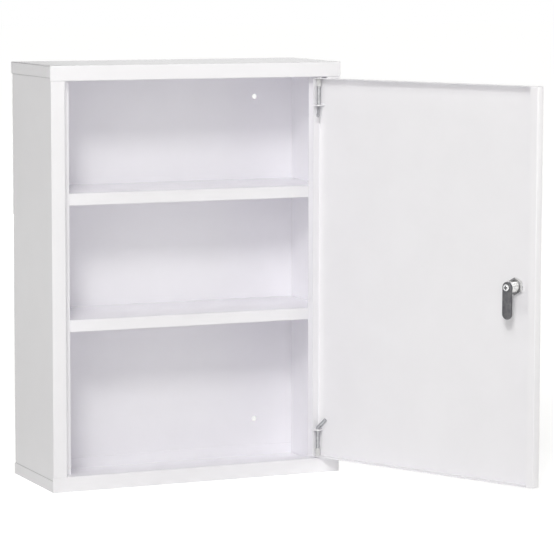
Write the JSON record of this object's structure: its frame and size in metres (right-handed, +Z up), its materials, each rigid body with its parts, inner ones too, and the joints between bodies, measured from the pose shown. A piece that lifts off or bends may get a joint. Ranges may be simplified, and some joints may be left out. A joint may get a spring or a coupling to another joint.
{
  "type": "lockable medicine cabinet",
  "caption": "Wall-hung sheet-steel medicine cabinet with fixed shelves, an inset door on lift-out pins and a key-operated cam lock, door standing open.",
  "frame": {"origin": "centre of the four wall holes, on the outer face of the cabinet's back", "axes": "+X to the right as seen from the front (the hinge side), +Y into the wall, +Z up; the door stands open by 116 degrees at rest"},
  "size_m": [0.4981, 0.4282, 0.5],
  "materials": {
    "paint": "off-white powder coat, satin",
    "zinc_wire": "bright zinc-plated wire",
    "nylon": "natural nylon",
    "nickel": "nickel plated, smooth",
    "washer_steel": "zinc plated",
    "brass": "machined",
    "spring_steel": "drawn wire",
    "cam_steel": "dark passivated",
    "screw_steel": "bright zinc plated",
    "key_steel": "nickel plated, blanked"
  },
  "bodies": {
    "cabinet": {"body_wrap": "paint", "top_cap": "paint", "bottom_cap": "paint", "upper_shelf": "paint", "lower_shelf": "paint"},
    "door": {"door_panel": "paint", "upper_hinge_tab": "paint", "lower_hinge_tab": "paint", "upper_hinge_bush": "nylon", "lower_hinge_bush": "nylon", "lock_housing": "nickel", "lock_washer": "washer_steel", "lock_nut": "nickel"},
    "plug": {"lock_plug": "brass", "lock_wafers": "brass", "wafer_springs": "spring_steel", "stop_washer": "washer_steel", "cam": "cam_steel", "cam_screw": "screw_steel"},
    "key": {"key": "key_steel"},
    "upper_pin": {"upper_hinge_pin": "zinc_wire"},
    "lower_pin": {"lower_hinge_pin": "zinc_wire"}
  },
  "joints": [
    {"name": "door_swing", "type": "hinge", "parent": "cabinet", "child": "door", "pos_m": [0.1586, -0.1345, 0], "axis": [0, 0, 1], "range_deg": [-116, 0]},
    {"name": "lock_turn", "type": "hinge", "parent": "door", "child": "plug", "pos_m": [0.2905, -0.39238, 0], "axis": [-0.8988, -0.4384, 0], "range_deg": [0, 90]},
    {"name": "key_slide", "type": "slide", "parent": "plug", "child": "key", "axis": [0.8988, 0.4384, 0], "range_m": [0, 0.018]},
    {"name": "upper_pin_slide", "type": "slide", "parent": "door", "child": "upper_pin", "axis": [0, 0, -1], "range_m": [0, 0.009]},
    {"name": "lower_pin_slide", "type": "slide", "parent": "door", "child": "lower_pin", "axis": [0, 0, 1], "range_m": [0, 0.009]}
  ]
}
